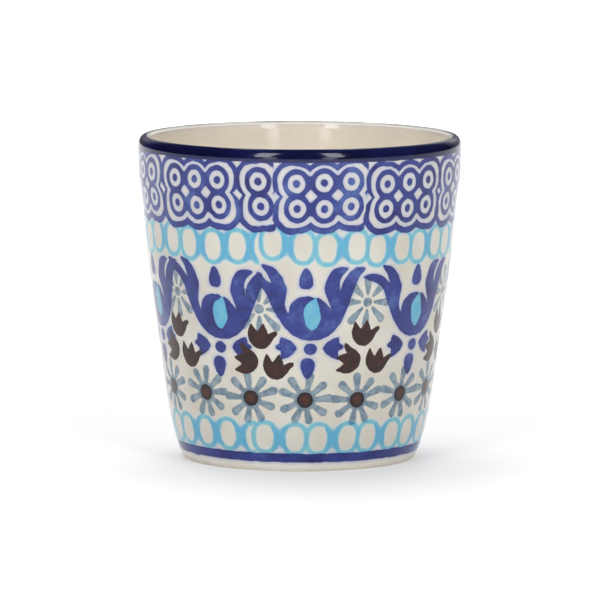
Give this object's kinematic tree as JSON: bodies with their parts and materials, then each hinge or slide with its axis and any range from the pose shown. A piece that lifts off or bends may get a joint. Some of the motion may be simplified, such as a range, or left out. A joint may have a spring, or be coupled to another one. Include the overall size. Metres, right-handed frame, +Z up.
{
  "type": "stoneware mug",
  "caption": "Handleless stoneware mug that tapers gently to a small foot, with a rounded lip, a glazed inside and painted bands round the wall.",
  "frame": {"origin": "on the mug's axis, in the plane of the foot ring that it stands on", "axes": "+Z up along the mug's axis, from the foot to the lip; -Y is the side that faces the viewer, +X is to the viewer's right"},
  "size_m": [0.088, 0.088, 0.088],
  "materials": {
    "bare_stoneware": "fired clay, matt and slightly rough, cream",
    "cream_glaze": "clear gloss glaze over cream clay",
    "rim_cobalt": "deep navy cobalt brushed round the lip under gloss glaze",
    "painted_lattice": "cobalt stamps of linked rings on cream, under gloss glaze",
    "painted_rings_upper": "turquoise ring chain on cream, under gloss glaze",
    "painted_blossoms": "cobalt blossoms with turquoise hearts and brown buds on cream, under gloss glaze",
    "painted_daisies": "grey-blue daisies with brown centres on cream, under gloss glaze",
    "painted_rings_lower": "turquoise ring chain on cream, under gloss glaze",
    "foot_line_cobalt": "cobalt line brushed round the foot, under gloss glaze"
  },
  "bodies": {
    "root": {"stoneware_body": "bare_stoneware", "liner_glaze": "cream_glaze", "base_glaze": "cream_glaze", "rim_glaze": "rim_cobalt", "lattice_band_glaze": "painted_lattice", "upper_ring_chain_glaze": "painted_rings_upper", "blossom_band_glaze": "painted_blossoms", "daisy_band_glaze": "painted_daisies", "lower_ring_chain_glaze": "painted_rings_lower", "foot_line_glaze": "foot_line_cobalt", "foot_glaze": "cream_glaze"}
  },
  "joints": []
}
